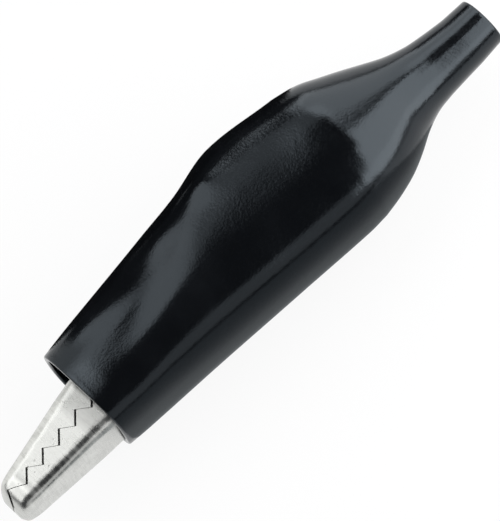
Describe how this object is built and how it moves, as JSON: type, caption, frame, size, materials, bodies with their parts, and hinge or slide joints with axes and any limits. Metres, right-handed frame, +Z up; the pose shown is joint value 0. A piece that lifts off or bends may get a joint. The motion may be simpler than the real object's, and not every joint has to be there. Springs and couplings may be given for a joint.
{
  "type": "crocodile clip",
  "caption": "Spring-loaded clip with two toothed sheet-metal jaws, a lever, a clamp screw for a wire, and a soft sleeve over its body and cable end.",
  "frame": {"origin": "under the middle of the whole clip, lying on its side on the lowest side of the boot", "axes": "+X along the cable axis from the jaw tips to the cable end, +Y across the jaws towards the moving jaw and its lever, +Z up along the pivot"},
  "size_m": [0.042, 0.0106, 0.0082],
  "materials": {
    "vinyl": "glossy soft moulded vinyl",
    "jaw_steel": "bright nickel plate over folded sheet steel",
    "rivet_steel": "nickel-plated, domed by forming",
    "spring_wire": "drawn spring wire, plated",
    "screw_steel": "nickel-plated, rolled thread"
  },
  "bodies": {
    "fixed": {"fixed_jaw": "jaw_steel", "pivot_rivet": "rivet_steel", "torsion_spring": "spring_wire"},
    "moving": {"moving_jaw": "jaw_steel"},
    "screw": {"clamp_screw": "screw_steel"},
    "boot": {"insulating_boot": "vinyl"}
  },
  "joints": [
    {"name": "jaw_hinge", "type": "hinge", "parent": "fixed", "child": "moving", "pos_m": [-0.0035, -0.00065, 0.0041], "axis": [0, 0, -1], "range_deg": [0, 10.5], "stiffness_Nm_per_rad": 0.037, "springref_deg": -20.05, "deforming": ["torsion_spring"]},
    {"name": "clamp_screw_travel", "type": "slide", "parent": "fixed", "child": "screw", "axis": [0, 1, 0], "range_m": [0, 0.0008]},
    {"name": "boot_slide", "type": "slide", "parent": "fixed", "child": "boot", "axis": [1, 0, 0], "range_m": [0, 0.028], "deforming": ["insulating_boot"]}
  ]
}
